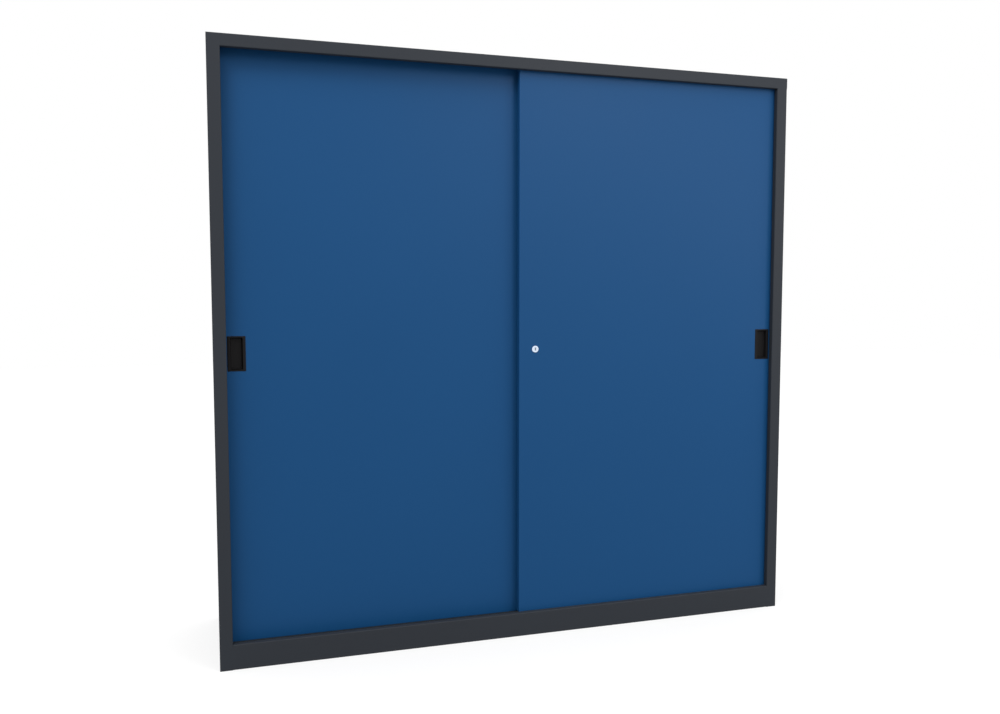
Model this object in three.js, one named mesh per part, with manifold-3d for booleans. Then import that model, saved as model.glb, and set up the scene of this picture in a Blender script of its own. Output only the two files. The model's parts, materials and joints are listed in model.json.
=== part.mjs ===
// A sliding door cabinet: a carcass of folded sheet steel, two doors that roll past each other,
// a partition in the middle and shelves on either side of it.
// Millimetres, +X to the right, +Y to the back, +Z up.
// The origin is at floor level, in the middle of the cabinet's width and depth.

import * as THREE from "three";
import { mergeVertices } from "three/addons/utils/BufferGeometryUtils.js";
import Module from "manifold-3d";

const wasm = await Module();
wasm.setup();

// Driving dimensions of the cabinet
const width = 2000;
const height = 1950;
const depth = 500;

// Sheet steel and the gaps that every piece shares
const sheet = 1;
const bend = 3;
const bendSteps = 3;
const seam = 0.3;
const overrun = 5;
const roundSteps = 64;

// Front frame: two stiles, the top panel's flange and the plinth
const stileWidth = 40;
const topRailHeight = 38.5;
const plinthHeight = 80.5;
const returnDepth = 20;
const hemWidth = 12;
const rearFlange = 20;
const footFlange = 18;

// Floor, back and middle of the carcass
const floorHeight = 65;
const floorFrontFlange = 62;
const floorRearFlange = 25;
const baseRailFlange = 30;
const backLift = 2;
const backFold = 10;
const partitionThickness = 25;
const partitionSetback = 95;

// Shelves, their bearers and the bays that they part
const shelvesPerBay = 4;
const shelfSetback = 100;
const shelfRearGap = 2;
const shelfFlange = 30;
const shelfHem = 12;
const bearerSheet = 1.5;
const bearerHeight = 25;
const bearerWidth = 20;
const bearerEndGap = 4;

// The two doors: folded trays, the right one in front of the left one
const doorSetback = 22;
const doorThickness = 24;
const doorSpacing = 9;
const doorBend = 2;
const doorHem = 14;
const doorSideRoom = 14;
const doorBottom = 78.5;
const doorSkirt = 7.5;
const doorTopCover = 13.5;
const frontDoorPastMiddle = 12.6;
const rearDoorPastMiddle = 70;

// The hat section that stiffens a door
const stiffenerTop = 30;
const stiffenerBrim = 16;
const stiffenerEndGap = 22;

// Tracks: rails for the rollers below, channels for the guides above
const trackSheet = 1.5;
const railHeight = 12.5;
const railThickness = 2;
const trackPastDoor = 8;
const channelWidth = 15;
const channelPastDoorTop = 6;
const bufferLift = 200;
const bufferHeight = 60;
const bufferInset = 2;

// Rollers and the housings that hold them inside the doors
const rollerRadius = 12;
const rollerWidth = 8;
const grooveDepth = 3;
const grooveWidth = 3.2;
const rollerChamfer = 1;
const journalRadius = 2;
const journalLength = 3;
const journalClearance = 0.3;
const rollerInset = 120;
const rollerClearance = 1.5;
const housingLength = 40;
const housingWidth = 19;
const housingCrown = 5;

// Guide blocks on top of the doors
const guideLength = 50;
const guideSideGap = 1;
const guideTopGap = 3;

// Finger pulls: a plate on the door with a cup sunk through it
const pullWidth = 56;
const pullHeight = 110;
const pullFromEdge = 27;
const pullCentreHeight = 988.5;
const pullPlate = 1.2;
const pullCorner = 2;
const cupWidth = 38;
const cupHeight = 101;
const cupDepth = 12;
const cupWall = 2;
const cupFromPlateEdge = 9;

// Lock: a keyed core that drives a bolt out of the front door's back
const lockFromEdge = 57.1;
const lockHeight = 987;
const lockFlange = 2.5;
const lockFlangeRadius = 12;
const lockChamfer = 0.8;
const lockBarrelRadius = 9;
const lockBarrelRearGap = 2;
const lockFit = 0.3;
const nutRadius = 14;
const nutThickness = 4;
const nutSides = 6;
const coreRadius = 6;
const coreRecess = 0.5;
const coreLength = 14;
const spindleRadius = 2.4;
const keywayWidth = 3;
const keywayHeight = 9.5;
const keywayDepth = 10;
const boltRadius = 5.5;
const boltProud = 1;
const boltTipWall = 1.5;
const boltEndPlay = 0.5;
const boltKeyWidth = 2;
const boltKeyHeight = 1.5;
const boltKeyLength = 3;

// Strike: a hat section on the rear door's face, with a hole for the bolt
const strikeSheet = 2;
const strikeTop = 30;
const strikeBrim = 10;
const strikeHeight = 40;
const strikeClearance = 2;
const strikeHoleClearance = 3.5;

// Places worked out from the sizes above
const frontFace = -depth / 2;
const rearFace = depth / 2;
const middleOfFrontSheet = frontFace + sheet / 2;
const middleOfReturn = frontFace + returnDepth - sheet / 2;
const wallInside = width / 2 - sheet;
const stileInside = width / 2 - stileWidth;
const railBottom = height - topRailHeight;
const underTop = height - sheet;
const backPanelFront = rearFace - sheet - seam - sheet;
const betweenWalls = wallInside - seam;
const doorOuterEdge = wallInside - doorSideRoom;
const doorTop = railBottom + doorTopCover;
const frontDoorDepth = doorSetback;
const rearDoorDepth = doorSetback + doorThickness + doorSpacing;
const doorDepths = [frontDoorDepth, rearDoorDepth];
const railTop = floorHeight + seam + railHeight;
const rollingRadius = rollerRadius - grooveDepth;
const axleHeight = railTop + seam + rollingRadius;
const trackWebBottom = underTop - seam - trackSheet;

// Finishes, with the colours of the paint, plastic and metal
const finishes = {
  anthracite: { color: 0x3c4046, roughness: 0.55, metalness: 0.1 },
  blue: { color: 0x1f4f86, roughness: 0.5, metalness: 0.1 },
  plastic: { color: 0x1b1b1d, roughness: 0.6, metalness: 0 },
  nylon: { color: 0xd9d6cc, roughness: 0.5, metalness: 0 },
  rubber: { color: 0x141414, roughness: 0.9, metalness: 0 },
  zinc: { color: 0xa9adb2, roughness: 0.4, metalness: 0.9 },
  chrome: { color: 0xe4e7ea, roughness: 0.12, metalness: 1 },
};

// A closed geometry as a solid that can be joined and cut
function solid(geometry) {
  const bare = geometry.clone();
  bare.deleteAttribute("normal");
  bare.deleteAttribute("uv");
  const merged = mergeVertices(bare);
  return new wasm.Manifold(
    new wasm.Mesh({
      numProp: 3,
      vertProperties: merged.attributes.position.array,
      triVerts: new Uint32Array(merged.index.array),
    }),
  );
}

// A solid as a geometry with flat faces
function geometryOf(body) {
  const mesh = body.getMesh();
  const shared = new THREE.BufferGeometry();
  shared.setAttribute("position", new THREE.BufferAttribute(mesh.vertProperties, mesh.numProp));
  shared.setIndex(new THREE.BufferAttribute(mesh.triVerts, 1));
  const faceted = shared.toNonIndexed();
  faceted.computeVertexNormals();
  return faceted;
}

// A block between two limits on each axis, given in either order
function block([x0, x1], [y0, y1], [z0, z1]) {
  const size = [Math.abs(x1 - x0), Math.abs(y1 - y0), Math.abs(z1 - z0)];
  const box = new THREE.BoxGeometry(...size);
  return solid(box.translate((x0 + x1) / 2, (y0 + y1) / 2, (z0 + z1) / 2));
}

const axisX = new THREE.Vector3(1, 0, 0);
const axisY = new THREE.Vector3(0, 1, 0);
const axisZ = new THREE.Vector3(0, 0, 1);
const turnAlong = {
  x: new THREE.Matrix4().makeBasis(axisY, axisZ, axisX),
  y: new THREE.Matrix4().makeBasis(axisX, axisZ, axisY.clone().negate()),
  z: new THREE.Matrix4(),
};

// An outline drawn across an axis and extruded along it from one place to another
function prism(axis, shape, [from, to]) {
  const length = Math.abs(to - from);
  const geometry = new THREE.ExtrudeGeometry(shape, { depth: length, bevelEnabled: false });
  geometry.applyMatrix4(turnAlong[axis]);
  const start = axis === "y" ? Math.max(from, to) : Math.min(from, to);
  const shift = { x: [start, 0, 0], y: [0, start, 0], z: [0, 0, start] }[axis];
  return solid(geometry.translate(...shift));
}

// A profile of [radius, y] points turned about the Y axis
function turned(profile) {
  const points = profile.map(([radius, y]) => new THREE.Vector2(radius, y));
  return solid(new THREE.LatheGeometry(points, roundSteps));
}

// A round bar along Y, between two places
function roundBar(radius, [y0, y1], steps = roundSteps) {
  const bar = new THREE.CylinderGeometry(radius, radius, Math.abs(y1 - y0), steps);
  return solid(bar.translate(0, (y0 + y1) / 2, 0));
}

// A line through the given corners, each rounded to a radius
function roundedLine(corners, radius) {
  const line = [corners[0]];
  for (let i = 1; i < corners.length - 1; i += 1) {
    const corner = corners[i];
    const back = corners[i - 1].clone().sub(corner).normalize();
    const on = corners[i + 1].clone().sub(corner).normalize();
    const half = back.angleTo(on) / 2;
    const centre = back.clone().add(on).setLength(radius / Math.sin(half)).add(corner);
    const start = back.multiplyScalar(radius / Math.tan(half)).add(corner);
    const end = on.multiplyScalar(radius / Math.tan(half)).add(corner);
    const turn = Math.sign(start.clone().sub(centre).cross(end.clone().sub(centre)));
    for (let step = 0; step <= bendSteps; step += 1) {
      const angle = (turn * (Math.PI - 2 * half) * step) / bendSteps;
      line.push(start.clone().rotateAround(centre, angle));
    }
  }
  line.push(corners.at(-1));
  return line;
}

// The same line moved sideways by a distance
function movedAside(line, distance) {
  const across = (a, b) => new THREE.Vector2(a.y - b.y, b.x - a.x).normalize();
  return line.map((point, i) => {
    const before = across(line[Math.max(i - 1, 0)], line[Math.max(i, 1)]);
    const after = across(line[Math.min(i, line.length - 2)], line[Math.min(i + 1, line.length - 1)]);
    const mitre = before.clone().add(after).divideScalar(1 + before.dot(after));
    return point.clone().addScaledVector(mitre, distance);
  });
}

// The outline of a folded sheet whose middle follows the given corners
function folded(corners, thickness = sheet, radius = bend) {
  const points = corners.map(([u, v]) => new THREE.Vector2(u, v));
  const line = roundedLine(points, radius - thickness / 2);
  const oneSide = movedAside(line, thickness / 2);
  const otherSide = movedAside(line, -thickness / 2).reverse();
  return new THREE.Shape([...oneSide, ...otherSide]);
}

// A rectangle with rounded corners
function roundedRectangle([u0, u1], [v0, v1], radius) {
  const middle = (u0 + u1) / 2;
  const corners = [
    [middle, v0],
    [u1, v0],
    [u1, v1],
    [u0, v1],
    [u0, v0],
    [middle, v0],
  ].map(([u, v]) => new THREE.Vector2(u, v));
  return new THREE.Shape(roundedLine(corners, radius).slice(0, -1));
}

// A hat section standing on its brims: the crown's middle is at the given height
function hat(crown, brim, crownHeight, thickness) {
  const foot = thickness / 2;
  const side = crown / 2;
  return folded(
    [
      [-side - brim, foot],
      [-side, foot],
      [-side, crownHeight],
      [side, crownHeight],
      [side, foot],
      [side + brim, foot],
    ],
    thickness,
    thickness,
  );
}

// A named piece with a finish of its own
function piece(name, body, finish) {
  const material = new THREE.MeshStandardMaterial({ ...finishes[finish], name: finish });
  const mesh = new THREE.Mesh(geometryOf(body), material);
  mesh.name = name;
  return mesh;
}

// Carcass

// Stile, wall and rear flange folded from one sheet; the stile ends under the top panel's flange
function sidePanel(side) {
  const wall = side * (width / 2 - sheet / 2);
  const stileReturn = side * (stileInside + sheet / 2);
  const outline = folded([
    [stileReturn + side * hemWidth, middleOfReturn],
    [stileReturn, middleOfReturn],
    [stileReturn, middleOfFrontSheet],
    [wall, middleOfFrontSheet],
    [wall, -middleOfFrontSheet],
    [wall - side * rearFlange, -middleOfFrontSheet],
  ]);
  const acrossAll = [side * (stileInside - overrun), side * (width / 2 + overrun)];
  const insideWall = [side * (stileInside - overrun), side * wallInside];
  const overRail = [railBottom - seam, height + overrun];
  const behindFlange = frontFace + sheet + seam;
  const overRearFlange = [height - rearFlange - seam, height + overrun];
  return prism("z", outline, [0, underTop - seam])
    .subtract(block(acrossAll, [frontFace - overrun, behindFlange], overRail))
    .subtract(block(insideWall, [frontFace, frontFace + returnDepth + overrun], overRail))
    .subtract(block(insideWall, [rearFace - bend, rearFace + overrun], overRearFlange));
}

// Top plate with the front flange as the top rail; only plate and flange run out over the walls
function topPanel() {
  const outline = folded([
    [middleOfReturn, railBottom + hemWidth],
    [middleOfReturn, railBottom + sheet / 2],
    [middleOfFrontSheet, railBottom + sheet / 2],
    [middleOfFrontSheet, height - sheet / 2],
    [-middleOfFrontSheet, height - sheet / 2],
    [-middleOfFrontSheet, height - rearFlange],
  ]);
  let panel = prism("x", outline, [-width / 2, width / 2]);
  for (const side of [-1, 1]) {
    const overWall = [side * betweenWalls, side * (width / 2 + overrun)];
    const behindFlange = [frontFace + sheet, rearFace + overrun];
    panel = panel.subtract(block(overWall, behindFlange, [railBottom - overrun, underTop]));
  }
  return panel;
}

function plinth() {
  const outline = folded([
    [middleOfReturn, plinthHeight - hemWidth],
    [middleOfReturn, plinthHeight - sheet / 2],
    [middleOfFrontSheet, plinthHeight - sheet / 2],
    [middleOfFrontSheet, sheet / 2],
    [middleOfFrontSheet + footFlange, sheet / 2],
  ]);
  const reach = stileInside - seam;
  return prism("x", outline, [-reach, reach]);
}

const floorFront = frontFace + returnDepth + seam;
const floorRear = backPanelFront - seam;

function bottomPanel() {
  const front = floorFront + sheet / 2;
  const rear = floorRear - sheet / 2;
  const outline = folded([
    [front, floorHeight - floorFrontFlange],
    [front, floorHeight - sheet / 2],
    [rear, floorHeight - sheet / 2],
    [rear, floorHeight - floorRearFlange],
  ]);
  return prism("x", outline, [-betweenWalls, betweenWalls]);
}

// A channel that stands on the floor and carries the bottom panel along its rear edge
function rearBaseRail() {
  const web = floorRear - sheet - bend - sheet / 2;
  const top = floorHeight - sheet - seam - sheet / 2;
  const outline = folded([
    [web - baseRailFlange, top],
    [web, top],
    [web, sheet / 2],
    [web - baseRailFlange, sheet / 2],
  ]);
  return prism("x", outline, [-betweenWalls, betweenWalls]);
}

// Half of the back, with a fold that stands inside the partition, above the floor
function backPanel(side) {
  const edge = side * (seam / 2 + sheet / 2);
  const middle = backPanelFront + sheet / 2;
  const outline = folded([
    [edge, middle - backFold],
    [edge, middle],
    [side * (wallInside - bend), middle],
  ]);
  const acrossFold = [side * -overrun, side * partitionThickness];
  const inFront = [backPanelFront - backFold - overrun, backPanelFront];
  return prism("z", outline, [backLift, height - bend]).subtract(
    block(acrossFold, inFront, [0, floorHeight + seam]),
  );
}

function centrePartition() {
  const skin = partitionThickness / 2 - sheet / 2;
  const front = frontFace + partitionSetback + sheet / 2;
  const rear = backPanelFront - seam;
  const outline = folded([
    [-skin, rear],
    [-skin, front],
    [skin, front],
    [skin, rear],
  ]);
  return prism("z", outline, [floorHeight + seam, underTop - seam]);
}

// A web under the top plate with a pair of legs either side of each door's middle
function topTrack() {
  const acrossWalls = [-betweenWalls, betweenWalls];
  const legReach = channelWidth / 2 + trackSheet;
  const middles = doorDepths.map((d) => frontFace + d + doorThickness / 2);
  const webSpan = [middles[0] - legReach, middles[1] + legReach];
  let track = block(acrossWalls, webSpan, [trackWebBottom, underTop - seam]);
  for (const middle of middles) {
    for (const side of [-1, 1]) {
      const leg = [middle + side * (channelWidth / 2), middle + side * legReach];
      track = track.add(block(acrossWalls, leg, [doorTop + channelPastDoorTop, trackWebBottom]));
    }
  }
  return track;
}

// A plate on the cabinet's floor with a rail under the middle of each door
function bottomTrack() {
  const acrossWalls = [-betweenWalls, betweenWalls];
  const base = floorHeight + seam;
  const plateRear = frontFace + rearDoorDepth + doorThickness + trackPastDoor;
  let track = block(acrossWalls, [floorFront + seam, plateRear], [base, base + trackSheet]);
  for (const doorDepth of doorDepths) {
    const middle = frontFace + doorDepth + doorThickness / 2;
    const rail = [middle - railThickness / 2, middle + railThickness / 2];
    track = track.add(block(acrossWalls, rail, [base, railTop]));
  }
  return track;
}

// A rubber block on each wall that both doors' outer edges come up against
function endBuffer(side) {
  const fromWall = [side * (doorOuterEdge + seam), side * betweenWalls];
  const front = frontFace + frontDoorDepth + bufferInset;
  const rear = frontFace + rearDoorDepth + doorThickness - bufferInset;
  return block(fromWall, [front, rear], [bufferLift, bufferLift + bufferHeight]);
}

const carcass = new THREE.Group();
carcass.add(
  piece("side_panel_left", sidePanel(-1), "anthracite"),
  piece("side_panel_right", sidePanel(1), "anthracite"),
  piece("top_panel", topPanel(), "anthracite"),
  piece("plinth", plinth(), "anthracite"),
  piece("bottom_panel", bottomPanel(), "anthracite"),
  piece("rear_base_rail", rearBaseRail(), "anthracite"),
  piece("back_panel_left", backPanel(-1), "anthracite"),
  piece("back_panel_right", backPanel(1), "anthracite"),
  piece("centre_partition", centrePartition(), "anthracite"),
  piece("top_track", topTrack(), "zinc"),
  piece("bottom_track", bottomTrack(), "anthracite"),
  piece("end_buffer_left", endBuffer(-1), "rubber"),
  piece("end_buffer_right", endBuffer(1), "rubber"),
);

// Shelves

const shelfFront = frontFace + shelfSetback;
const shelfRear = backPanelFront - shelfRearGap;
const bayInner = partitionThickness / 2 + seam;
const bayWidth = betweenWalls - bayInner;
const shelfPitch = (railBottom - floorHeight) / (shelvesPerBay + 1);

// A tray turned upside down, centred on X, with its top at z = 0
function shelf() {
  const front = shelfFront + sheet / 2;
  const rear = shelfRear - sheet / 2;
  const hem = -shelfFlange + sheet / 2;
  const outline = folded([
    [front + shelfHem, hem],
    [front, hem],
    [front, -sheet / 2],
    [rear, -sheet / 2],
    [rear, hem],
    [rear - shelfHem, hem],
  ]);
  return prism("x", outline, [-bayWidth / 2, bayWidth / 2]);
}

// An angle that stands against a wall at x = 0 and reaches out under the shelf
function shelfBearer(outwards) {
  const leg = (outwards * bearerSheet) / 2;
  const outline = folded(
    [
      [leg, -bearerHeight],
      [leg, -bearerSheet / 2],
      [outwards * bearerWidth, -bearerSheet / 2],
    ],
    bearerSheet,
    bend,
  );
  const clear = sheet + bearerEndGap;
  return prism("y", outline, [shelfFront + clear + shelfHem, shelfRear - clear - shelfHem]);
}

const shelves = new THREE.Group();
for (const [bay, side] of Object.entries({ left: -1, right: 1 })) {
  for (let level = 1; level <= shelvesPerBay; level += 1) {
    const top = floorHeight + level * shelfPitch;
    const board = piece(`shelf_${bay}_${level}`, shelf(), "anthracite");
    board.position.set(side * (bayInner + bayWidth / 2), 0, top);
    const bearerTop = top - sheet - seam;
    const outer = piece(`shelf_bearer_${bay}_${level}_outer`, shelfBearer(-side), "zinc");
    outer.position.set(side * betweenWalls, 0, bearerTop);
    const inner = piece(`shelf_bearer_${bay}_${level}_inner`, shelfBearer(side), "zinc");
    inner.position.set(side * bayInner, 0, bearerTop);
    shelves.add(board, outer, inner);
  }
}

// Doors: each is made about its own middle, with its face at y = 0 and z from the floor

// Face, returns, hems and skirt, with a hole for the pull, slots for the rollers and any other cuts
function doorTray(reach, pullSide, rollerPlaces) {
  const edge = reach - sheet / 2;
  const rear = doorThickness - sheet / 2;
  const outline = folded(
    [
      [-edge + doorHem, rear],
      [-edge, rear],
      [-edge, sheet / 2],
      [edge, sheet / 2],
      [edge, rear],
      [edge - doorHem, rear],
    ],
    sheet,
    doorBend,
  );
  const lid = roundedRectangle([-reach, reach], [0, doorThickness], doorBend);
  let tray = prism("z", outline, [doorBottom, doorTop])
    .add(prism("z", lid, [doorBottom, doorBottom + sheet]))
    .add(prism("z", lid, [doorTop - sheet, doorTop]));
  const cup = cupSpan(reach, pullSide, cupWall + seam);
  tray = tray.subtract(block(cup.across, [-overrun, sheet + overrun], cup.up));
  const slotReach = rollerRadius + rollerClearance;
  const slotWidth = rollerWidth / 2 + rollerClearance;
  const middle = doorThickness / 2;
  for (const place of rollerPlaces) {
    const along = [place - slotReach, place + slotReach];
    const across = [middle - slotWidth, middle + slotWidth];
    tray = tray.subtract(block(along, across, [doorBottom - overrun, doorBottom + sheet + overrun]));
  }
  const skirtReach = reach - doorBend;
  const skirt = [doorBottom - doorSkirt, doorBottom + sheet];
  return tray.add(block([-skirtReach, skirtReach], [0, sheet], skirt));
}

// Where the pull's cup lies on a door, grown by a margin on every side
function cupSpan(reach, pullSide, margin) {
  const inner = reach - pullFromEdge - pullWidth + cupFromPlateEdge - margin;
  const outer = inner + cupWidth + margin + margin;
  const half = cupHeight / 2 + margin;
  return {
    across: [pullSide * inner, pullSide * outer],
    up: [pullCentreHeight - half, pullCentreHeight + half],
  };
}

function ordered([a, b]) {
  return [Math.min(a, b), Math.max(a, b)];
}

function fingerPull(reach, pullSide) {
  const outer = reach - pullFromEdge;
  const across = ordered([pullSide * (outer - pullWidth), pullSide * outer]);
  const up = [pullCentreHeight - pullHeight / 2, pullCentreHeight + pullHeight / 2];
  const plate = prism("y", roundedRectangle(across, up, pullCorner), [-seam - pullPlate, -seam]);
  const wall = cupSpan(reach, pullSide, cupWall);
  const cup = block(wall.across, [-seam - pullPlate / 2, cupDepth + cupWall], wall.up);
  const inside = cupSpan(reach, pullSide, 0);
  return plate.add(cup).subtract(block(inside.across, [-overrun, cupDepth], inside.up));
}

// A hat section up the middle of the door, with its brims against the back of the face
function doorStiffener() {
  const crown = doorThickness - sheet - seam - sheet - sheet / 2;
  const outline = hat(stiffenerTop, stiffenerBrim, crown, sheet);
  const up = [doorBottom + stiffenerEndGap, doorTop - stiffenerEndGap];
  return prism("z", outline, up).translate([0, sheet + seam, 0]);
}

// A grooved wheel with its journals, about its own centre
function roller() {
  const half = rollerWidth / 2;
  const groove = grooveWidth / 2;
  const end = half + journalLength;
  const rim = rollerRadius - rollerChamfer;
  return turned([
    [0, -end],
    [journalRadius, -end],
    [journalRadius, -half],
    [rim, -half],
    [rollerRadius, -half + rollerChamfer],
    [rollerRadius, -groove],
    [rollingRadius, -groove],
    [rollingRadius, groove],
    [rollerRadius, groove],
    [rollerRadius, half - rollerChamfer],
    [rim, half],
    [journalRadius, half],
    [journalRadius, end],
    [0, end],
  ]);
}

// A block over the roller, open below, with a bore in each cheek; centred on the roller
function rollerHousing() {
  const foot = doorBottom + sheet + seam - axleHeight;
  const well = rollerRadius + rollerClearance;
  const wellHalf = rollerWidth / 2 + rollerClearance / 2;
  const halfLength = housingLength / 2;
  const halfWidth = housingWidth / 2;
  const bore = journalRadius + journalClearance;
  return block([-halfLength, halfLength], [-halfWidth, halfWidth], [foot, well + housingCrown])
    .subtract(block([-well, well], [-wellHalf, wellHalf], [foot - overrun, well]))
    .subtract(roundBar(bore, [-halfWidth - overrun, halfWidth + overrun]));
}

// A nylon block that stands on the door and runs in the top track's channel
function topGuide() {
  const half = channelWidth / 2 - guideSideGap;
  const up = [doorTop + seam, trackWebBottom - guideTopGap];
  return block([-guideLength / 2, guideLength / 2], [-half, half], up);
}

// Lock

const lockFront = -seam - lockFlange;
const coreRear = lockFront + coreRecess + coreLength;
const boltBase = coreRear + boltEndPlay;
const boltTip = doorThickness + boltProud;
const spindleEnd = boltTip - boltTipWall - boltEndPlay;
const lockBore = Math.max(coreRadius, boltRadius) + lockFit;
const spindleBore = spindleRadius + lockFit;

function lockHousing() {
  const rear = doorThickness - lockBarrelRearGap;
  const barrel = turned([
    [lockBore, lockFront],
    [lockFlangeRadius - lockChamfer, lockFront],
    [lockFlangeRadius, lockFront + lockChamfer],
    [lockFlangeRadius, -seam],
    [lockBarrelRadius, -seam],
    [lockBarrelRadius, rear],
    [lockBore, rear],
    [lockBore, lockFront],
  ]);
  const slotHalf = boltKeyWidth / 2 + lockFit;
  const slotTop = boltRadius + boltKeyHeight + lockFit;
  return barrel.subtract(block([-slotHalf, slotHalf], [coreRear, rear + overrun], [0, slotTop]));
}

// A six-sided nut behind the door's face
function lockNut() {
  const front = sheet + seam;
  const rear = front + nutThickness;
  return roundBar(nutRadius, [front, rear], nutSides).subtract(
    roundBar(lockBarrelRadius + lockFit, [front - overrun, rear + overrun]),
  );
}

// The keyed core, with the spindle that drives the bolt
function lockCore() {
  const front = lockFront + coreRecess;
  const keyway = block(
    [-keywayWidth / 2, keywayWidth / 2],
    [front - overrun, front + keywayDepth],
    [-keywayHeight / 2, keywayHeight / 2],
  );
  return turned([
    [0, front],
    [coreRadius, front],
    [coreRadius, coreRear],
    [spindleRadius, coreRear],
    [spindleRadius, spindleEnd],
    [0, spindleEnd],
  ]).subtract(keyway);
}

// A hollow bolt on the spindle, kept from turning by a key in the housing's slot
function lockBolt() {
  const sleeve = turned([
    [spindleBore, boltBase],
    [boltRadius, boltBase],
    [boltRadius, boltTip],
    [0, boltTip],
    [0, boltTip - boltTipWall],
    [spindleBore, boltTip - boltTipWall],
    [spindleBore, boltBase],
  ]);
  const half = boltKeyWidth / 2;
  const key = [boltRadius - boltKeyHeight, boltRadius + boltKeyHeight];
  return sleeve.add(block([-half, half], [boltBase, boltBase + boltKeyLength], key));
}

// A hat section whose crown faces forwards, about the bolt's centre, standing on y = 0
function lockStrike() {
  const crown = doorSpacing - strikeClearance - seam - strikeSheet / 2;
  const hole = roundBar(boltRadius + strikeHoleClearance, [-doorSpacing - overrun, overrun]);
  return prism("z", hat(strikeTop, strikeBrim, crown, strikeSheet), [-strikeHeight / 2, strikeHeight / 2])
    .rotate([0, 0, 180])
    .subtract(hole);
}

// A door with what both doors carry, from its left edge to its right edge
function door(name, doorDepth, left, right, pullSide, cut) {
  const reach = (right - left) / 2;
  const outermost = pullSide * (reach - rollerInset);
  const rollerPlaces = { outer: outermost, inner: -outermost };
  const tray = cut(doorTray(reach, pullSide, Object.values(rollerPlaces)), reach);
  const group = new THREE.Group();
  group.position.set((left + right) / 2, frontFace + doorDepth, 0);
  group.add(
    piece(`door_panel_${name}`, tray, "blue"),
    piece(`door_stiffener_${name}`, doorStiffener(), "zinc"),
    piece(`finger_pull_${name}`, fingerPull(reach, pullSide), "plastic"),
  );
  for (const [end, place] of Object.entries(rollerPlaces)) {
    const wheel = piece(`roller_${name}_${end}`, roller(), "plastic");
    const housing = piece(`roller_housing_${name}_${end}`, rollerHousing(), "plastic");
    const guide = piece(`top_guide_${name}_${end}`, topGuide(), "nylon");
    wheel.position.set(place, doorThickness / 2, axleHeight);
    housing.position.copy(wheel.position);
    guide.position.set(place, doorThickness / 2, 0);
    group.add(wheel, housing, guide);
  }
  return group;
}

const lockX = -frontDoorPastMiddle + lockFromEdge;

const rightDoor = door(
  "right",
  frontDoorDepth,
  -frontDoorPastMiddle,
  doorOuterEdge,
  1,
  (tray, reach) => {
    const hole = roundBar(lockBarrelRadius + lockFit, [-overrun, sheet + overrun]);
    return tray.subtract(hole.translate([-reach + lockFromEdge, 0, lockHeight]));
  },
);
const leftDoor = door(
  "left",
  rearDoorDepth,
  -doorOuterEdge,
  rearDoorPastMiddle,
  -1,
  (tray) => tray,
);

const lock = new THREE.Group();
lock.position.set(lockX, frontFace + frontDoorDepth, lockHeight);
lock.add(
  piece("lock_housing", lockHousing(), "chrome"),
  piece("lock_nut", lockNut(), "zinc"),
  piece("lock_core", lockCore(), "chrome"),
  piece("lock_bolt", lockBolt(), "zinc"),
);

const strike = piece("lock_strike", lockStrike(), "zinc");
strike.position.set(lockX, frontFace + rearDoorDepth - seam, lockHeight);

const cabinet = new THREE.Group();
cabinet.add(carcass, shelves, rightDoor, leftDoor, lock, strike);

export default cabinet;
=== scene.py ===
"""Dresses the frame of a sliding door cabinet: edges, finishes, small fittings, light and camera.

The frame is in metres, with +X to the right, +Y to the back and +Z up, and stands on z = 0.
Each piece keeps its place in its mesh, so patterns on Object coordinates are in the same metres.
"""

import json
import math

import bmesh
import bpy
from bpy.props import FloatProperty, FloatVectorProperty, IntProperty, PointerProperty
from mathutils import Matrix, Vector


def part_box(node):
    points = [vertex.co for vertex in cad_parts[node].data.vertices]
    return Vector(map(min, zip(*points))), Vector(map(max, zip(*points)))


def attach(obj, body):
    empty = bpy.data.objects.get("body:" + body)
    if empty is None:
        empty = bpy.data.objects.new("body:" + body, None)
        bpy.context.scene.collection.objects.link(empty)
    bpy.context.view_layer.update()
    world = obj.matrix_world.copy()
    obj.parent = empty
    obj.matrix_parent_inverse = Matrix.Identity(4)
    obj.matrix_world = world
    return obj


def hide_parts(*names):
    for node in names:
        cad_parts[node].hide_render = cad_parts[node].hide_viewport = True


bl_info = {
    "name": "Sliding Door Cabinet",
    "version": (1, 0, 0),
    "blender": (4, 5, 0),
    "location": "3D View > Sidebar > Cabinet",
    "description": "Dresses the frame of a steel cabinet with two sliding doors",
    "category": "Object",
}

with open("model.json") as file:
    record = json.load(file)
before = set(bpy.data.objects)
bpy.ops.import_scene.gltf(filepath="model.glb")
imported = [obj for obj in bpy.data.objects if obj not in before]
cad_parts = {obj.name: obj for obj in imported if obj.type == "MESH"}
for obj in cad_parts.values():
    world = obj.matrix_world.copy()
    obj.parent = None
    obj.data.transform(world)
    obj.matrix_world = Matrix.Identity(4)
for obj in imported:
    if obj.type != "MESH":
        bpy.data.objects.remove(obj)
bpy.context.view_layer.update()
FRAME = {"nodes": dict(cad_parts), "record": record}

MM = 0.001
BODY_OF = {
    node: body
    for body, nodes in FRAME["record"]["behaviour"]["bodies"].items()
    for node in nodes
}
SLOT_OF = {part["node"]: part["material_slot"] for part in FRAME["record"]["subparts"]}

SHELVES_PER_BAY = sum(node.startswith("shelf_left") for node in BODY_OF)

# What counts as the same point, and as lying in the same plane
SAME_POINT = 0.001 * MM
SLACK = 0.01 * MM

# Faces that meet flatter than the first are one plane, flatter than the second one smooth surface,
# and steeper than the third a corner that gets rounded
FLAT_BELOW = math.radians(0.5)
SMOOTH_BELOW = math.radians(40)
CORNER_ABOVE = math.radians(50)

# How much of a face's normal lies along an axis when the face counts as facing that way
FACING_SHARE = 0.5

# Weighted Normal's setting that lets the broad faces turn the narrow ones
BROAD_FACES_LEAD = 100

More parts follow.
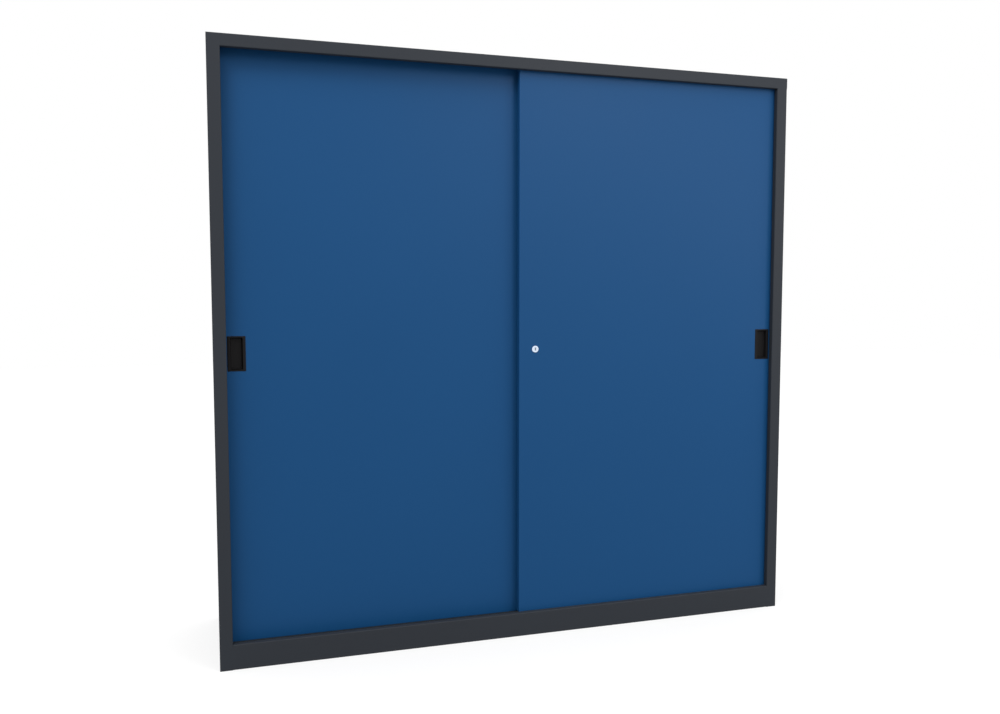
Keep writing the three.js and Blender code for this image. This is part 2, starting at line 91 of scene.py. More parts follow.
# Facets across a rounded edge, and around a rivet
EDGE_STEPS = 2
BEND_STEPS = 3
RIM_STEPS = 3
COVE_STEPS = 4
PLATE_STEPS = 5
RIVET_STEPS = 16

# Where the rings of a rivet's head lie, as angles up from its rim
DOME_ANGLES = (0, 0.45, 0.9, 1.25)

# Rivets of a bearer, as shares of its depth from front to back
BEARER_RIVET_SHARES = (0.12, 0.5, 0.88)

# The rim around the dust shutter's dish, and the dish's depth, as shares of the shutter's width
SHUTTER_RIM_SHARE = 1 / 3
SHUTTER_DISH_SHARE = 1 / 8

# Powder coat: widths of its clouds and grain, of the waves in the sheet and of smudges on it
PAINT_CLOUD = 450 * MM
PAINT_GRAIN = 1.1 * MM
SHEET_WAVE = 300 * MM
SHEET_WAVE_DEPTH = 0.25 * MM
SMUDGE = 25 * MM

# Hands smooth the coat fully this near to a pull's middle, and not at all this far from it
HANDLED_NEAR = 50 * MM
HANDLED_FAR = 220 * MM

# Plastic and nylon: widths and depths of their marks, and how deep light goes into nylon
PLASTIC_PIT = 0.7 * MM
PLASTIC_PIT_DEPTH = 0.05 * MM
PLASTIC_FLOW = 30 * MM
NYLON_CLOUD = 20 * MM
NYLON_MARK = 2 * MM
NYLON_MARK_DEPTH = 0.03 * MM
NYLON_MARK_SQUEEZE = (1, 6, 1)
NYLON_GLOW_DEPTH = 2 * MM
NYLON_GLOW_SHARE = 0.15

# Rubber: widths of its bloom and its specks
RUBBER_BLOOM = 12 * MM
RUBBER_SPECK = 0.8 * MM
RUBBER_SPECK_DEPTH = 0.06 * MM

# Zinc: widths of its rolling lines, its spangle and its clouds
ZINC_LINE = 6 * MM
ZINC_LINE_DEPTH = 0.02 * MM
ZINC_LINE_SQUEEZE = (1, 1, 14)
ZINC_SPANGLE = 9 * MM
ZINC_CLOUD = 60 * MM

# Chrome: its polishing rings, as the Wave Texture counts them, and its wiping marks
CHROME_RING_SCALE = 160
CHROME_RING_DISTORTION = 0.6
CHROME_RING_DEPTH = 0.003 * MM
CHROME_WIPE = 4 * MM

# Camera: its sensor in millimetres, and how many metres it sees
SENSOR_WIDTH = 36
VIEW_END = 100

# Floor: from its middle to its sides in metres, how far it lies under z = 0, and its mottle
FLOOR_REACH = 12
FLOOR_DROP = 0.1 * MM
FLOOR_MOTTLE = 600 * MM

WHITE = (1, 1, 1, 1)


# Settings


class CabinetFinishes(bpy.types.PropertyGroup):
    """Colours and textures of the sheet, the plastics and the metals"""

    frame_colour: FloatVectorProperty(
        name="Frame Colour",
        description="Powder coat on the carcass and the shelves",
        subtype="COLOR",
        size=3,
        min=0,
        max=1,
        default=(0.0267, 0.0308, 0.0379),
    )
    door_colour: FloatVectorProperty(
        name="Door Colour",
        description="Powder coat on the two doors",
        subtype="COLOR",
        size=3,
        min=0,
        max=1,
        default=(0.0065, 0.062, 0.1776),
    )
    plastic_colour: FloatVectorProperty(
        name="Plastic Colour",
        description="Finger pulls, rollers and their housings, and the dust shutter",
        subtype="COLOR",
        size=3,
        min=0,
        max=1,
        default=(0.0065, 0.006, 0.0065),
    )
    nylon_colour: FloatVectorProperty(
        name="Nylon Colour",
        description="Top guides",
        subtype="COLOR",
        size=3,
        min=0,
        max=1,
        default=(0.69, 0.66, 0.58),
    )
    rubber_colour: FloatVectorProperty(
        name="Rubber Colour",
        description="End buffers",
        subtype="COLOR",
        size=3,
        min=0,
        max=1,
        default=(0.011, 0.011, 0.011),
    )
    zinc_colour: FloatVectorProperty(
        name="Zinc Colour",
        description="Zinc plated steel of the top track, bearers, stiffeners and fasteners",
        subtype="COLOR",
        size=3,
        min=0,
        max=1,
        default=(0.42, 0.44, 0.46),
    )
    chrome_colour: FloatVectorProperty(
        name="Chrome Colour",
        description="Lock flange and core",
        subtype="COLOR",
        size=3,
        min=0,
        max=1,
        default=(0.74, 0.83, 0.97),
    )
    paint_roughness: FloatProperty(
        name="Paint Roughness",
        description="How matt the powder coat is",
        subtype="FACTOR",
        min=0,
        max=1,
        default=0.5,
    )
    paint_gloss: FloatProperty(
        name="Paint Gloss",
        description="How strongly the powder coat reflects",
        subtype="FACTOR",
        min=0,
        max=1,
        default=0.15,
    )
    plastic_gloss: FloatProperty(
        name="Plastic Gloss",
        description="How strongly the black plastic reflects",
        subtype="FACTOR",
        min=0,
        max=1,
        default=0.12,
    )
    peel_size: FloatProperty(
        name="Orange Peel Size",
        description="Width of the dimples in the powder coat",
        unit="LENGTH",
        default=1.8 * MM,
    )
    peel_depth: FloatProperty(
        name="Orange Peel Depth",
        description="Depth of the dimples in the powder coat",
        unit="LENGTH",
        default=0.02 * MM,
    )


class CabinetShapes(bpy.types.PropertyGroup):
    """Sizes of the worked edges and of the small fittings"""

    sheet_edge: FloatProperty(
        name="Sheet Edge",
        description="Most rounding of cut sheet edges; a short edge in the way makes it less",
        unit="LENGTH",
        default=0.25 * MM,
    )
    moulded_edge: FloatProperty(
        name="Moulded Edge",
        description="Rounding of the corners of the top guides and the end buffers",
        unit="LENGTH",
        default=0.6 * MM,
    )
    housing_edge: FloatProperty(
        name="Housing Edge",
        description="Most rounding of the roller housings; a short edge in the way makes it less",
        unit="LENGTH",
        default=0.3 * MM,
    )
    machined_edge: FloatProperty(
        name="Machined Edge",
        description="Most rounding of rollers and lock; a short edge in the way makes it less",
        unit="LENGTH",
        default=0.15 * MM,
    )
    door_edge: FloatProperty(
        name="Door Edge",
        description="Most rounding at a door face's top; a short edge in the way makes it less",
        unit="LENGTH",
        default=1.6 * MM,
    )
    rail_end: FloatProperty(
        name="Rail End",
        description="Rounding of the top rail's ends",
        unit="LENGTH",
        default=0.7 * MM,
    )
    seam_reach: FloatProperty(
        name="Seam Reach",
        description="Width of the bend that the ground weld in a seam fills up",
        unit="LENGTH",
        default=3.2 * MM,
    )
    seam_depth: FloatProperty(
        name="Seam Depth",
        description="Thickness of the weld in a seam",
        unit="LENGTH",
        default=1.2 * MM,
    )
    seam_recess: FloatProperty(
        name="Seam Recess",
        description="How far the ground weld lies behind the face",
        unit="LENGTH",
        default=0.06 * MM,
    )
    seam_end: FloatProperty(
        name="Seam End",
        description="From the stile's inner edge and the plinth's foot to where a weld starts",
        unit="LENGTH",
        default=1 * MM,
    )
    pull_corner: FloatProperty(
        name="Pull Corner",
        description="Corner radius of the finger pull's plate",
        unit="LENGTH",
        default=2 * MM,
    )
    pull_slope: FloatProperty(
        name="Pull Slope",
        description="Width of the sloping border around the plate",
        unit="LENGTH",
        default=3 * MM,
    )
    pull_slope_rise: FloatProperty(
        name="Pull Slope Rise",
        description="Height of the sloping border around the plate",
        unit="LENGTH",
        default=0.8 * MM,
    )
    pull_side_border: FloatProperty(
        name="Pull Side Border",
        description="From the plate's sides to the mouth of the cup",
        unit="LENGTH",
        default=9 * MM,
    )
    pull_end_border: FloatProperty(
        name="Pull End Border",
        description="From the plate's ends to the mouth of the cup",
        unit="LENGTH",
        default=4.5 * MM,
    )
    pull_rim: FloatProperty(
        name="Pull Rim",
        description="Most rounding of the cup's mouth; a short edge in the way makes it less",
        unit="LENGTH",
        default=0.7 * MM,
    )
    pull_draft: FloatProperty(
        name="Pull Draft",
        description="How far the cup's walls lean in between mouth and floor",
        unit="LENGTH",
        default=3 * MM,
    )
    pull_cove: FloatProperty(
        name="Pull Cove",
        description="Hollow rounding between the cup's walls and floor",
        unit="LENGTH",
        default=2 * MM,
    )
    pull_floor: FloatProperty(
        name="Pull Floor",
        description="Thickness of the cup's floor in the frame",
        unit="LENGTH",
        default=2 * MM,
    )
    pull_wall: FloatProperty(
        name="Pull Wall",
        description="Wall thickness of the moulding",
        unit="LENGTH",
        default=1.1 * MM,
    )
    keyway_width: FloatProperty(
        name="Keyway Width",
        description="Width of the slot in the lock's core",
        unit="LENGTH",
        default=3 * MM,
    )
    keyway_height: FloatProperty(
        name="Keyway Height",
        description="Height of the slot in the lock's core",
        unit="LENGTH",
        default=9.5 * MM,
    )
    shutter_sheet: FloatProperty(
        name="Shutter Sheet",
        description="Thickness of the dust shutter",
        unit="LENGTH",
        default=1 * MM,
    )
    shutter_recess: FloatProperty(
        name="Shutter Recess",
        description="How far the dust shutter lies inside the keyway",
        unit="LENGTH",
        default=0.8 * MM,
    )
    shutter_gap: FloatProperty(
        name="Shutter Gap",
        description="Gap around the dust shutter",
        unit="LENGTH",
        default=0.1 * MM,
    )
    rivet_radius: FloatProperty(
        name="Rivet Radius",
        description="Radius of the blind rivets' heads",
        unit="LENGTH",
        default=3.2 * MM,
    )
    rivet_rise: FloatProperty(
        name="Rivet Rise",
        description="How far a rivet's head stands up",
        unit="LENGTH",
        default=1.0 * MM,
    )
    rivet_seat: FloatProperty(
        name="Rivet Seat",
        description="How far a rivet's head sinks into the sheet",
        unit="LENGTH",
        default=0.2 * MM,
    )
    bearer_sheet: FloatProperty(
        name="Bearer Sheet",
        description="Thickness of the angles that carry the shelves",
        unit="LENGTH",
        default=1.5 * MM,
    )
    bearer_rivet_lift: FloatProperty(
        name="Bearer Rivet Lift",
        description="From a bearer's lower edge up to its rivets",
        unit="LENGTH",
        default=9 * MM,
    )
    back_rivet_inset: FloatProperty(
        name="Back Rivet Inset",
        description="From the sides of a back panel to its rivets",
        unit="LENGTH",
        default=12 * MM,
    )
    back_rivet_margin: FloatProperty(
        name="Back Rivet Margin",
        description="From the ends of a back panel to its first rivets",
        unit="LENGTH",
        default=40 * MM,
    )
    back_rivet_rows: IntProperty(
        name="Back Rivet Rows",
        description="Rivets up each side of a back panel",
        min=2,
        default=7,
    )
    strike_sheet: FloatProperty(
        name="Strike Sheet",
        description="Thickness of the lock's strike",
        unit="LENGTH",
        default=2 * MM,
    )
    strike_rivet_inset: FloatProperty(
        name="Strike Rivet Inset",
        description="From the sides of the strike's brims to their rivets",
        unit="LENGTH",
        default=5 * MM,
    )
    strike_rivet_margin: FloatProperty(
        name="Strike Rivet Margin",
        description="From the ends of the strike to its rivets",
        unit="LENGTH",
        default=9 * MM,
    )


class CabinetStage(bpy.types.PropertyGroup):
    """Camera, floor and light"""

    camera_place: FloatVectorProperty(
        name="Camera Place",
        description="Where the camera stands",
        subtype="TRANSLATION",
        size=3,
        default=(-0.97272, -3.10908, 1.18217),
    )
    camera_turn: FloatVectorProperty(
        name="Camera Turn",
        description="How the camera is turned",
        subtype="EULER",
        size=3,
        default=(math.radians(85.8335), 0, math.radians(-17.207)),
    )
    focal_length: FloatProperty(
        name="Focal Length",
        description="Lens on a sensor 36 mm wide",
        unit="CAMERA",
        default=32.377,
    )
    sky_above: FloatProperty(
        name="Light From Above",
        description="Strength of the surrounding light from straight above",
        default=1.82,
    )
    sky_level: FloatProperty(
        name="Light From Around",
        description="Strength of the surrounding light at eye level",
        default=0.39,
    )
    key_power: FloatProperty(
        name="Key Power",
        description="Power of the soft lamp in front, a little to the right",
        unit="POWER",
        default=32,
    )
    right_power: FloatProperty(
        name="Right Power",
        description="Power of the low soft lamp to the right",
        unit="POWER",
        default=15,
    )
    left_power: FloatProperty(
        name="Left Power",
        description="Power of the high soft lamp to the left",
        unit="POWER",
        default=36,
    )
    key_place: FloatVectorProperty(
        name="Key Place",
        description="Where the lamp in front hangs",
        subtype="TRANSLATION",
        size=3,
        default=(1.26, -3.07, 2.84),
    )
    right_place: FloatVectorProperty(
        name="Right Place",
        description="Where the lamp to the right hangs",
        subtype="TRANSLATION",
        size=3,
        default=(2.64, -2.47, 1.81),
    )
    left_place: FloatVectorProperty(
        name="Left Place",
        description="Where the lamp to the left hangs",
        subtype="TRANSLATION",
        size=3,
        default=(-1.90, -1.84, 3.68),
    )
    lamp_aim: FloatVectorProperty(
        name="Lamp Aim",
        description="The point that the three lamps face",
        subtype="TRANSLATION",
        size=3,
        default=(0.3, -0.2, 1.0),
    )
    softbox_size: FloatProperty(
        name="Softbox Size",
        description="Width and height of a soft lamp",
        unit="LENGTH",
        default=1.2,
    )
    floor_colour: FloatVectorProperty(
        name="Floor Colour",
        description="Colour with which the floor lights the cabinet",
        subtype="COLOR",
        size=3,
        min=0,
        max=1,
        default=(0.3, 0.3, 0.3),
    )
    floor_lift: FloatProperty(
        name="Floor Lift",
        description="How much of white the camera and reflections see on the bare floor",
        default=0.65,
    )


# Shader maths


class Signal:
    """A value or colour that runs through a finish and can be written in sums"""

    def __init__(self, finish, socket):
        self.finish = finish
        self.socket = socket

    def maths(self, operation, *values):
        """One Math node on values or signals"""
        settings = {"operation": operation}
        return self.finish.signal("ShaderNodeMath", settings, dict(enumerate(values)))

    def __add__(self, other):
        return self.maths("ADD", self, other)

    def __radd__(self, other):
        return self.maths("ADD", other, self)

    def __sub__(self, other):
        return self.maths("SUBTRACT", self, other)

    def __rsub__(self, other):
        return self.maths("SUBTRACT", other, self)

    def __mul__(self, other):
        return self.maths("MULTIPLY", self, other)

    def __rmul__(self, other):
        return self.maths("MULTIPLY", other, self)

    def either(self, other):
        """The larger of two values"""
        return self.maths("MAXIMUM", self, other)

    def within(self, start, end):
        """0 at start, 1 at end, and smooth between them"""
        settings = {"interpolation_type": "SMOOTHSTEP"}
        limits = {"Value": self, "From Min": start, "From Max": end}
        return self.finish.signal("ShaderNodeMapRange", settings, limits)


class Finish:
    """A shader tree, built from nodes and their inputs"""

    def __init__(self, owner):
        self.owner = owner
        owner.use_nodes = True
        self.tree = owner.node_tree
        self.tree.nodes.clear()

    def node(self, kind, settings=None, inputs=None):
        """A new node with its settings and the values or links of its inputs"""
        made = self.tree.nodes.new(kind)
        for name, value in (settings or {}).items():
            setattr(made, name, value)
        for name, value in (inputs or {}).items():
            if isinstance(value, Signal):
                self.tree.links.new(value.socket, made.inputs[name])
            else:
                made.inputs[name].default_value = value
        return made

    def signal(self, kind, settings=None, inputs=None, output=0):
        """One output of a new node"""
        return Signal(self, self.node(kind, settings, inputs).outputs[output])

    def place(self, centre=(0, 0, 0), squeeze=(1, 1, 1)):
        """Object coordinates about a centre, in which patterns are squeezed along each axis"""
        here = self.signal("ShaderNodeTexCoord", output="Object")
        if tuple(centre) == (0, 0, 0) and tuple(squeeze) == (1, 1, 1):
            return here
        moved = [-along * times for along, times in zip(centre, squeeze)]
        values = {"Vector": here, "Location": moved, "Scale": squeeze}
        return self.signal("ShaderNodeMapping", {"vector_type": "POINT"}, values)

    def noise(self, place, size, detail=2.0, roughness=0.5):
        """Noise from 0 to 1 whose patches are about the given size across"""
        values = {"Vector": place, "Scale": 1 / size, "Detail": detail, "Roughness": roughness}
        return self.signal("ShaderNodeTexNoise", None, values)

    def cells(self, place, size, feature="F1"):
        """Distance from the middles of cells of the given size"""
        values = {"Vector": place, "Scale": 1 / size}
        return self.signal("ShaderNodeTexVoronoi", {"feature": feature}, values)

    def distance(self, place):
        """How far a place is from its origin"""
        settings = {"operation": "LENGTH"}
        return self.signal("ShaderNodeVectorMath", settings, {0: place}, "Value")

    def shaded(self, colour, shade):
        """A colour made darker or lighter by a factor"""
        values = {0: tuple(colour), "Scale": shade}
        return self.signal("ShaderNodeVectorMath", {"operation": "SCALE"}, values)

    def relief(self, height, depth, under=None):
        """A normal bent by a height from 0 to 1, over a depth in metres"""
        values = {"Height": height, "Distance": depth}
        if under is not None:
            values["Normal"] = under
        return self.signal("ShaderNodeBump", None, values)

    def surface(self, **inputs):
        """The finished surface; underscores in the names stand for spaces"""
        values = {name.replace("_", " "): value for name, value in inputs.items()}
        shader = self.signal("ShaderNodeBsdfPrincipled", None, values)
        self.node("ShaderNodeOutputMaterial", None, {"Surface": shader})
        return self.owner


# Finishes


def powder_coat(material, settings, colour, handled=()):
    """Fine powder coat on sheet steel, a little smoother where hands take hold of it"""
    finish = Finish(material)
    place = finish.place()
    clouds = finish.noise(place, PAINT_CLOUD, detail=3)
    grain = finish.noise(place, PAINT_GRAIN, detail=1)
    peel = finish.noise(place, settings.peel_size, detail=1, roughness=0.4)
    waves = finish.noise(place, SHEET_WAVE, detail=0)
    shade = 0.95 + clouds * 0.06 + grain * 0.04
    roughness = settings.paint_roughness - 0.08 + clouds * 0.08 + grain * 0.08
    for centre in handled:
        near = finish.distance(finish.place(centre)).within(HANDLED_FAR, HANDLED_NEAR)
        smudges = finish.noise(place, SMUDGE, detail=4)
        roughness = roughness - near * smudges * 0.16
    sheet = finish.relief(waves, SHEET_WAVE_DEPTH)
    return finish.surface(
        Base_Color=finish.shaded(colour, shade),
        Roughness=roughness,
        Specular_IOR_Level=settings.paint_gloss,
        Normal=finish.relief(peel, settings.peel_depth, sheet),
    )


def anthracite_paint(material, settings):
    """Powder coat of the carcass"""
    return powder_coat(material, settings, settings.frame_colour)


def blue_paint(material, settings):
    """Powder coat of the doors, handled around their pulls"""
    pulls = [middle(f"finger_pull_{side}") for side in ("left", "right")]
    return powder_coat(material, settings, settings.door_colour, pulls)


def black_plastic(material, settings):
    """Moulded plastic with a spark eroded grain"""
    finish = Finish(material)
    place = finish.place()
    pits = finish.cells(place, PLASTIC_PIT, "SMOOTH_F1")
    flow = finish.noise(place, PLASTIC_FLOW, detail=3)
    shade = 0.85 + flow * 0.2 + pits * 0.15
    return finish.surface(
        Base_Color=finish.shaded(settings.plastic_colour, shade),
        Roughness=0.44 + flow * 0.12 + pits * 0.08,
        Specular_IOR_Level=settings.plastic_gloss,
        Normal=finish.relief(pits, PLASTIC_PIT_DEPTH),
    )


def white_nylon(material, settings):
    """Natural nylon: slightly waxy, with faint turning and moulding marks"""
    finish = Finish(material)
    clouds = finish.noise(finish.place(), NYLON_CLOUD, detail=3)
    marks = finish.noise(finish.place(squeeze=NYLON_MARK_SQUEEZE), NYLON_MARK, detail=2)
    return finish.surface(
        Base_Color=finish.shaded(settings.nylon_colour, 0.9 + clouds * 0.2),
        Roughness=0.38 + marks * 0.14,
        Normal=finish.relief(marks, NYLON_MARK_DEPTH),
        Subsurface_Weight=NYLON_GLOW_SHARE,
        Subsurface_Scale=NYLON_GLOW_DEPTH,
    )


def rubber(material, settings):
    """Matt black rubber with a bloom on it"""
    finish = Finish(material)
    place = finish.place()
    bloom = finish.noise(place, RUBBER_BLOOM, detail=4)
    specks = finish.noise(place, RUBBER_SPECK, detail=2)
    return finish.surface(
        Base_Color=finish.shaded(settings.rubber_colour, 0.7 + bloom * 0.7),
        Roughness=0.78 + specks * 0.14,
        Normal=finish.relief(specks, RUBBER_SPECK_DEPTH),
    )


def zinc_steel(material, settings):
    """Zinc plated strip, with its rolling lines and faint spangle"""
    finish = Finish(material)
    rolled = finish.place(squeeze=ZINC_LINE_SQUEEZE)
    lines = finish.noise(rolled, ZINC_LINE, detail=4, roughness=0.6)
    spangle = finish.cells(finish.place(), ZINC_SPANGLE)
    clouds = finish.noise(finish.place(), ZINC_CLOUD, detail=3)
    shade = 0.84 + lines * 0.12 + spangle * 0.12 + clouds * 0.1
    return finish.surface(
        Base_Color=finish.shaded(settings.zinc_colour, shade),
        Metallic=1,
        Roughness=0.32 + lines * 0.12 + clouds * 0.1,
        Normal=finish.relief(lines, ZINC_LINE_DEPTH),
    )


def chrome(material, settings):
    """Polished chrome with the fine rings that polishing on a lathe leaves"""
    finish = Finish(material)
    rings = finish.signal(
        "ShaderNodeTexWave",
        {"wave_type": "RINGS", "rings_direction": "Y"},
        {
            "Vector": finish.place(middle("lock_core")),
            "Scale": CHROME_RING_SCALE,
            "Distortion": CHROME_RING_DISTORTION,
            "Detail": 2,
        },
        "Fac",
    )
    wipes = finish.noise(finish.place(), CHROME_WIPE, detail=4)
    return finish.surface(
        Base_Color=finish.shaded(settings.chrome_colour, 0.97 + wipes * 0.05),
        Metallic=1,
        Roughness=0.09 + rings * 0.04 + wipes * 0.06,
        Normal=finish.relief(rings, CHROME_RING_DEPTH),
    )


FINISHES = {
    "anthracite_paint": anthracite_paint,
    "blue_paint": blue_paint,
    "black_plastic": black_plastic,
    "white_nylon": white_nylon,
    "rubber": rubber,
    "zinc_steel": zinc_steel,
    "chrome": chrome,
}


def finish_for(slot):
    """The finish for one of the record's slots, made when it is first asked for"""
    name = f"cabinet_{slot}"
    known = bpy.data.materials.get(name)
    if known:
        return known
    return FINISHES[slot](bpy.data.materials.new(name), bpy.context.scene.cabinet_finishes)


# Shapes


def middle(node):
    """The middle of a frame node's box"""
    low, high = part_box(node)
    return (low + high) / 2


def merge(shape):
    """Joins what lies together and turns every face outwards"""
    bmesh.ops.remove_doubles(shape, verts=shape.verts, dist=SAME_POINT)
    bmesh.ops.recalc_face_normals(shape, faces=shape.faces)


def corners(shape):
    """The edges where two faces meet steeply"""
    shape.normal_update()
    return [e for e in shape.edges if e.is_manifold and e.calc_face_angle() > CORNER_ABOVE]


def block(centre, size):
    """A box about a centre"""
    shape = bmesh.new()
    matrix = Matrix.Translation(centre) @ Matrix.Diagonal((*size, 1))
    bmesh.ops.create_cube(shape, size=1, matrix=matrix)
    shape.normal_update()
    return shape


def round_edges(shape, edges, radius, steps=EDGE_STEPS):
    """Bevels edges to a radius, or to less on a piece where a short edge is in the way"""
    bmesh.ops.bevel(
        shape,
        geom=edges,
        offset=radius,
        offset_type="OFFSET",
        affect="EDGES",
        segments=steps,
        profile=0.5,
        material=-1,
        clamp_overlap=True,
    )


def piece(name, shape, body, slot, *replaced):
    """A shape as a finished object that rides on a body and stands for frame nodes"""
    mesh = bpy.data.meshes.new(name)
    shape.to_mesh(mesh)
    shape.free()
    mesh.materials.append(finish_for(slot))
    mesh.shade_smooth()
    mesh.set_sharp_from_angle(angle=SMOOTH_BELOW)
    made = bpy.data.objects.new(name, mesh)
    bpy.context.scene.collection.objects.link(made)
    even = made.modifiers.new("even_normals", "WEIGHTED_NORMAL")
    even.keep_sharp = True
    even.weight = BROAD_FACES_LEAD
    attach(made, body)
    if replaced:
        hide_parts(*replaced)
    return made


def worked_copy(node, ending, edge, is_bend=None, bend=0):
    """A frame node's own shape, with its bends and its cut edges rounded"""
    shape = bmesh.new()
    shape.from_mesh(FRAME["nodes"][node].data)
    bmesh.ops.remove_doubles(shape, verts=shape.verts, dist=SAME_POINT)
    bmesh.ops.dissolve_limit(shape, angle_limit=FLAT_BELOW, verts=shape.verts, edges=shape.edges)
    if is_bend:
        round_edges(shape, [e for e in corners(shape) if is_bend(e)], bend, BEND_STEPS)
    round_edges(shape, corners(shape), edge)
    return piece(f"{node}_{ending}", shape, BODY_OF[node], SLOT_OF[node], node)


def copies_on(shape, pattern, places, facing):
    """Adds a pattern, made to face +Z, at each place, turned to face the given way"""
    turn = Vector((0, 0, 1)).rotation_difference(Vector(facing)).to_matrix().to_4x4()
    unit = bpy.data.meshes.new("pattern")
    pattern.to_mesh(unit)
    pattern.free()
    for place in places:
        before = len(shape.verts)
        shape.from_mesh(unit)
        shape.verts.ensure_lookup_table()
        matrix = Matrix.Translation(place) @ turn
        bmesh.ops.transform(shape, matrix=matrix, verts=shape.verts[before:])
    bpy.data.meshes.remove(unit)


def turned(profile, steps):
    """A profile of radii and heights spun about the Z axis"""
    shape = bmesh.new()
    line = [shape.verts.new((radius, 0, height)) for radius, height in profile]
    edges = [shape.edges.new(pair) for pair in zip(line, line[1:])]
    bmesh.ops.spin(
        shape,
        geom=line + edges,
        cent=(0, 0, 0),
        axis=(0, 0, 1),
        angle=math.tau,
        steps=steps,
        use_merge=True,
    )
    merge(shape)
    return shape


def dome(radius, rise, seat):
    """A rivet's head, closed underneath"""
    rings = [(radius * math.cos(angle), rise * math.sin(angle)) for angle in DOME_ANGLES]
    return turned([(0, -seat), (radius, -seat), *rings, (0, rise)], RIVET_STEPS)


# Operators


class CABINET_OT_carcass(bpy.types.Operator):
    """Dress the folded sheets of the carcass and its tracks"""

    bl_idname = "cabinet.carcass"
    bl_label = "Carcass"

    def execute(self, context):
        shapes = context.scene.cabinet_shapes
        for node, body in BODY_OF.items():
            if body != "carcass" or node.startswith("shelf"):
                continue
            if SLOT_OF[node] == "rubber":
                worked_copy(node, "moulding", shapes.moulded_edge)
            elif node == "top_panel":
                worked_copy(node, "sheet", shapes.sheet_edge, self.ends_of(node), shapes.rail_end)
            else:
                worked_copy(node, "sheet", shapes.sheet_edge)
        return {"FINISHED"}

    def ends_of(self, node):
        """A test for the edges of a node's two ends, at its front and on its top"""
        low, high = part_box(node)

        def is_end(edge):
            at_end = all(min(v.co.x - low.x, high.x - v.co.x) < SLACK for v in edge.verts)
            ways = [face.normal for face in edge.link_faces]
            return at_end and any(way.y < -FACING_SHARE or way.z > FACING_SHARE for way in ways)

        return is_end


class CABINET_OT_seams(bpy.types.Operator):
    """Weld and grind the seams between the stiles, the top rail and the plinth"""

    bl_idname = "cabinet.seams"
    bl_label = "Seams"

    def execute(self, context):
        shapes = context.scene.cabinet_shapes
        rail_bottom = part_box("top_panel")[0].z
        plinth_low, plinth_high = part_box("plinth")
        reach = shapes.seam_reach
        overlap = 2 * shapes.sheet_edge
        for side, way in (("left", -1), ("right", 1)):
            low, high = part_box(f"side_panel_{side}")
            stile_inside = min(abs(low.x), abs(high.x))
            cabinet_side = max(abs(low.x), abs(high.x))
            start = stile_inside + shapes.seam_end
            across = (way * start, way * (cabinet_side - shapes.rail_end))
            up = (rail_bottom - overlap, rail_bottom + reach)
            self.weld(shapes, f"rail_seam_{side}", across, up, low.y)
            start = plinth_high.x - shapes.sheet_edge
            across = (way * start, way * (stile_inside + reach))
            up = (plinth_low.z + shapes.seam_end, plinth_high.z - reach)
            self.weld(shapes, f"plinth_seam_{side}", across, up, low.y)
        return {"FINISHED"}

    def weld(self, shapes, name, across, up, front):
        """A strip of weld between two places across and two up, just behind the front"""
        deep = front + shapes.seam_recess + shapes.seam_depth / 2
        centre = Vector((sum(across) / 2, deep, sum(up) / 2))
        shape = block(centre, (abs(across[1] - across[0]), shapes.seam_depth, up[1] - up[0]))
        rim = [e for e in shape.edges if all(v.co.y < centre.y for v in e.verts)]
        round_edges(shape, rim, shapes.sheet_edge)
        piece(name, shape, "carcass", "anthracite_paint")


class CABINET_OT_shelves(bpy.types.Operator):
    """Dress the shelves and the angles that carry them"""

    bl_idname = "cabinet.shelves"
    bl_label = "Shelves"

    def execute(self, context):
        shapes = context.scene.cabinet_shapes
        for node in BODY_OF:
            if node.startswith("shelf"):
                worked_copy(node, "sheet", shapes.sheet_edge)
        return {"FINISHED"}


class CABINET_OT_doors(bpy.types.Operator):
    """Dress the two door trays with their stiffeners and the strike"""

    bl_idname = "cabinet.doors"
    bl_label = "Doors"

    def execute(self, context):
        shapes = context.scene.cabinet_shapes
        for side in ("left", "right"):
            node = f"door_panel_{side}"
            worked_copy(node, "sheet", shapes.sheet_edge, self.fold_of(node), shapes.door_edge)
            worked_copy(f"door_stiffener_{side}", "sheet", shapes.sheet_edge)
        worked_copy("lock_strike", "sheet", shapes.sheet_edge)
        return {"FINISHED"}

    def fold_of(self, node):
        """A test for the upper edge of a door's face"""
        low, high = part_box(node)

        def is_fold(edge):
            return all(v.co.y - low.y < SLACK and high.z - v.co.z < SLACK for v in edge.verts)

        return is_fold


